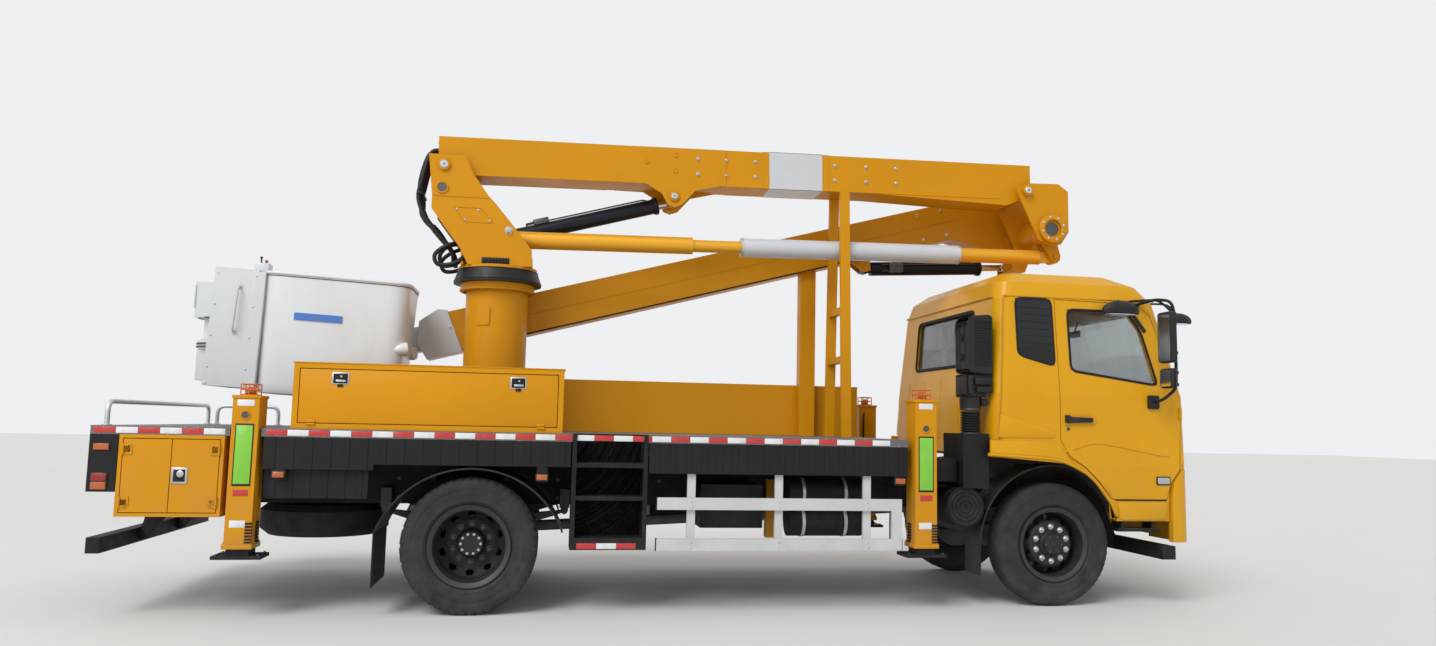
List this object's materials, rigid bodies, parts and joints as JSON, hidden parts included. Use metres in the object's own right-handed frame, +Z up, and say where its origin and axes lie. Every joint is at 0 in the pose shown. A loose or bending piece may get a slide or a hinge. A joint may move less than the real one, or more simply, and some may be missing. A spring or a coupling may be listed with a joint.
{
  "type": "cherry picker truck",
  "caption": "Two-axle forward-cab truck with outriggers, a column and turntable over the rear axle, folding lower and upper booms and a worker basket.",
  "frame": {"origin": "on the ground under the middle of the truck's overall length and width", "axes": "+X forward, +Y to the truck's left, +Z up"},
  "size_m": [8.6198, 2.98, 3.9565],
  "materials": {
    "chassis_black": "satin black paint",
    "engine_grey": "grey casting",
    "deck_grey": "chequered steel plate",
    "plastic_black": "matt black",
    "guard_white": "white paint",
    "body_yellow": "gloss yellow paint",
    "cab_yellow": "gloss yellow paint",
    "shell_white": "white gel coat",
    "steel_bright": "bright steel",
    "tyre": "black rubber on a black rim",
    "cab_glass": "tinted glass",
    "lamp_orange": "clear and amber lenses",
    "seat_grey": "dark cloth"
  },
  "bodies": {
    "chassis": {"chassis_frame": "chassis_black", "subframe": "chassis_black", "front_axle": "chassis_black", "rear_axle": "chassis_black", "engine_block": "engine_grey", "chassis_boxes": "chassis_black", "deck": "deck_grey", "deck_hoops": "guard_white", "deck_skirt": "chassis_black", "mudguards": "plastic_black", "access_steps": "chassis_black", "side_guards": "guard_white", "spare_wheel": "tyre", "deck_toolboxes": "body_yellow", "rear_toolbox": "body_yellow", "column": "body_yellow", "slewing_cover": "body_yellow", "turntable": "body_yellow", "boom_rests": "body_yellow", "cab_shell": "cab_yellow", "cab_glass": "cab_glass", "bumper": "cab_yellow", "lamps": "lamp_orange", "air_intake": "plastic_black", "cab_interior": "seat_grey"},
    "knuckle_right": {"knuckle_right": "chassis_black"},
    "knuckle_left": {"knuckle_left": "chassis_black"},
    "front_wheel_right": {"front_wheel_right": "tyre"},
    "front_wheel_left": {"front_wheel_left": "tyre"},
    "rear_wheel_right": {"rear_wheel_right": "tyre"},
    "rear_wheel_left": {"rear_wheel_left": "tyre"},
    "cab_door_right": {"cab_door_right": "cab_yellow", "door_glass_right": "cab_glass", "mirror_right": "plastic_black"},
    "cab_door_left": {"cab_door_left": "cab_yellow", "door_glass_left": "cab_glass", "mirror_left": "plastic_black"},
    "toolbox_door_right": {"toolbox_door_right": "body_yellow"},
    "toolbox_door_left": {"toolbox_door_left": "body_yellow"},
    "rear_toolbox_door_rear": {"rear_toolbox_door_rear": "body_yellow"},
    "rear_toolbox_door_front": {"rear_toolbox_door_front": "body_yellow"},
    "lower_boom": {"lower_boom": "body_yellow"},
    "levelling_rod": {"levelling_rod": "body_yellow"},
    "elbow": {"elbow": "body_yellow"},
    "upper_boom": {"upper_boom": "body_yellow", "boom_tip": "shell_white"},
    "basket": {"basket_mount": "shell_white", "basket": "shell_white"},
    "lift_barrel": {"lift_barrel": "body_yellow"},
    "lift_ram": {"lift_ram": "steel_bright"},
    "fold_barrel": {"fold_barrel": "body_yellow"},
    "fold_ram": {"fold_ram": "steel_bright"},
    "outrigger_rear_right": {"outrigger_rear_right": "body_yellow"},
    "jack_leg_rear_right": {"jack_leg_rear_right": "chassis_black"},
    "outrigger_rear_left": {"outrigger_rear_left": "body_yellow"},
    "jack_leg_rear_left": {"jack_leg_rear_left": "chassis_black"},
    "outrigger_front_right": {"outrigger_front_right": "body_yellow"},
    "jack_leg_front_right": {"jack_leg_front_right": "chassis_black"},
    "outrigger_front_left": {"outrigger_front_left": "body_yellow"},
    "jack_leg_front_left": {"jack_leg_front_left": "chassis_black"}
  },
  "joints": [
    {"name": "steering_right", "type": "hinge", "parent": "chassis", "child": "knuckle_right", "pos_m": [2.99, -0.79, 0.5], "axis": [0, 0, 1], "range_deg": [-35, 35]},
    {"name": "front_wheel_right", "type": "hinge", "parent": "knuckle_right", "child": "front_wheel_right", "pos_m": [2.99, -0.965, 0.5], "axis": [0, 1, 0], "continuous": true},
    {"name": "rear_wheel_right", "type": "hinge", "parent": "chassis", "child": "rear_wheel_right", "pos_m": [-1.71, -0.92, 0.5], "axis": [0, 1, 0], "continuous": true},
    {"name": "cab_door_right", "type": "hinge", "parent": "chassis", "child": "cab_door_right", "pos_m": [4.13, -1.178, 1.5], "axis": [0, 0, 1], "range_deg": [0, 70]},
    {"name": "toolbox_door_right", "type": "hinge", "parent": "chassis", "child": "toolbox_door_right", "pos_m": [-2, -1.208, 1.376], "axis": [1, 0, 0], "range_deg": [0, 150]},
    {"name": "steering_left", "type": "hinge", "parent": "chassis", "child": "knuckle_left", "pos_m": [2.99, 0.79, 0.5], "axis": [0, 0, 1], "range_deg": [-35, 35]},
    {"name": "front_wheel_left", "type": "hinge", "parent": "knuckle_left", "child": "front_wheel_left", "pos_m": [2.99, 0.965, 0.5], "axis": [0, 1, 0], "continuous": true},
    {"name": "rear_wheel_left", "type": "hinge", "parent": "chassis", "child": "rear_wheel_left", "pos_m": [-1.71, 0.92, 0.5], "axis": [0, 1, 0], "continuous": true},
    {"name": "cab_door_left", "type": "hinge", "parent": "chassis", "child": "cab_door_left", "pos_m": [4.13, 1.178, 1.5], "axis": [0, 0, -1], "range_deg": [0, 70]},
    {"name": "toolbox_door_left", "type": "hinge", "parent": "chassis", "child": "toolbox_door_left", "pos_m": [-2, 1.208, 1.376], "axis": [-1, 0, 0], "range_deg": [0, 150]},
    {"name": "rear_toolbox_door_rear", "type": "hinge", "parent": "chassis", "child": "rear_toolbox_door_rear", "pos_m": [-4.09, -1.228, 1], "axis": [0, 0, -1], "range_deg": [0, 90]},
    {"name": "rear_toolbox_door_front", "type": "hinge", "parent": "chassis", "child": "rear_toolbox_door_front", "pos_m": [-3.46, -1.228, 1], "axis": [0, 0, 1], "range_deg": [0, 90]},
    {"name": "outrigger_rear_right", "type": "slide", "parent": "chassis", "child": "outrigger_rear_right", "axis": [0, -1, 0], "range_m": [0, 1]},
    {"name": "jack_leg_rear_right", "type": "slide", "parent": "outrigger_rear_right", "child": "jack_leg_rear_right", "axis": [0, 0, -1], "range_m": [0, 0.5]},
    {"name": "outrigger_rear_left", "type": "slide", "parent": "chassis", "child": "outrigger_rear_left", "axis": [0, 1, 0], "range_m": [0, 1]},
    {"name": "jack_leg_rear_left", "type": "slide", "parent": "outrigger_rear_left", "child": "jack_leg_rear_left", "axis": [0, 0, -1], "range_m": [0, 0.5]},
    {"name": "outrigger_front_right", "type": "slide", "parent": "chassis", "child": "outrigger_front_right", "axis": [0, -1, 0], "range_m": [0, 1]},
    {"name": "jack_leg_front_right", "type": "slide", "parent": "outrigger_front_right", "child": "jack_leg_front_right", "axis": [0, 0, -1], "range_m": [0, 0.5]},
    {"name": "outrigger_front_left", "type": "slide", "parent": "chassis", "child": "outrigger_front_left", "axis": [0, 1, 0], "range_m": [0, 1]},
    {"name": "jack_leg_front_left", "type": "slide", "parent": "outrigger_front_left", "child": "jack_leg_front_left", "axis": [0, 0, -1], "range_m": [0, 0.5]},
    {"name": "lower_boom_lift", "type": "hinge", "parent": "chassis", "child": "lower_boom", "pos_m": [-2.12, 0, 3.59], "axis": [0, -1, 0], "range_deg": [0, 80]},
    {"name": "levelling_rod_swing", "type": "hinge", "parent": "chassis", "child": "levelling_rod", "pos_m": [-1.77, -0.06, 3], "axis": [0, -1, 0], "range_deg": [0, 80]},
    {"name": "elbow_level", "type": "hinge", "parent": "lower_boom", "child": "elbow", "pos_m": [3.21019, 0, 3.68304], "axis": [0, 1, 0], "range_deg": [0, 80]},
    {"name": "upper_boom_fold", "type": "hinge", "parent": "elbow", "child": "upper_boom", "pos_m": [3.46019, 0.51, 3.33304], "axis": [0, 1, 0], "range_deg": [0, 90]},
    {"name": "basket_level", "type": "hinge", "parent": "upper_boom", "child": "basket", "pos_m": [-3.77877, 0.51, 1.75778], "axis": [0, -1, 0], "range_deg": [0, 90]},
    {"name": "lift_barrel_swing", "type": "hinge", "parent": "chassis", "child": "lift_barrel", "pos_m": [-1.56, 0.095, 3.05], "axis": [0, -1, 0], "range_deg": [0, 76.24]},
    {"name": "lift_ram_slide", "type": "slide", "parent": "lift_barrel", "child": "lift_ram", "axis": [0.9629, 0, 0.2697], "range_m": [0, 0.9923]},
    {"name": "fold_barrel_swing", "type": "hinge", "parent": "upper_boom", "child": "fold_barrel", "pos_m": [1.86319, 0.51, 2.99204], "axis": [0, -1, 0], "range_deg": [0, 4.1]},
    {"name": "fold_ram_slide", "type": "slide", "parent": "fold_barrel", "child": "fold_ram", "axis": [0.9985, 0, 0.0556], "range_m": [0, 0.378]}
  ],
  "couplings": [
    {"joint": "levelling_rod_swing", "follows": "lower_boom_lift", "ratio": 1},
    {"joint": "elbow_level", "follows": "lower_boom_lift", "ratio": 1},
    {"joint": "lift_barrel_swing", "follows": "lower_boom_lift", "ratio": 0.95172},
    {"joint": "lift_ram_slide", "follows": "lower_boom_lift", "m_per_rad": 0.71026},
    {"joint": "basket_level", "follows": "upper_boom_fold", "ratio": 1},
    {"joint": "fold_barrel_swing", "follows": "upper_boom_fold", "ratio": 0.044459},
    {"joint": "fold_ram_slide", "follows": "upper_boom_fold", "m_per_rad": 0.24025}
  ]
}
